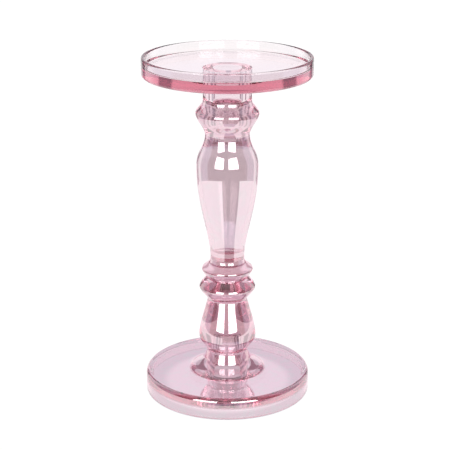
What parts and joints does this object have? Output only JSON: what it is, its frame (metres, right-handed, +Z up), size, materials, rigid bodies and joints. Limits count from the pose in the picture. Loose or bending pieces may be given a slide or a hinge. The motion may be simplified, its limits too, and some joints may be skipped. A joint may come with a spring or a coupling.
{
  "type": "glass candlestick",
  "caption": "Tall turned glass pillar-candle stand: rimmed round plate on a vase-shaped stem with rings and a bulb, over a broad round foot.",
  "frame": {"origin": "centre of the standing ring under the foot, at the lowest point", "axes": "+Z up along the stem's turning axis, X and Y across the round foot"},
  "size_m": [0.14, 0.14, 0.29],
  "materials": {
    "plate_glass": "clear pale pink glass, fire polished, with a thin lustre coat",
    "collar_glass": "clear pale pink glass, thick walled, with a thin lustre coat",
    "baluster_glass": "clear pale pink blown glass with a thin lustre coat",
    "ring_glass": "clear pale pink solid glass with a thin lustre coat",
    "bulb_glass": "clear pale pink pressed glass with a thin lustre coat",
    "foot_glass": "clear pale pink pressed glass, fire polished, with a thin lustre coat"
  },
  "bodies": {
    "root": {"plate": "plate_glass", "collar": "collar_glass", "baluster": "baluster_glass", "ring_knop": "ring_glass", "bulb": "bulb_glass", "foot": "foot_glass"}
  },
  "joints": []
}
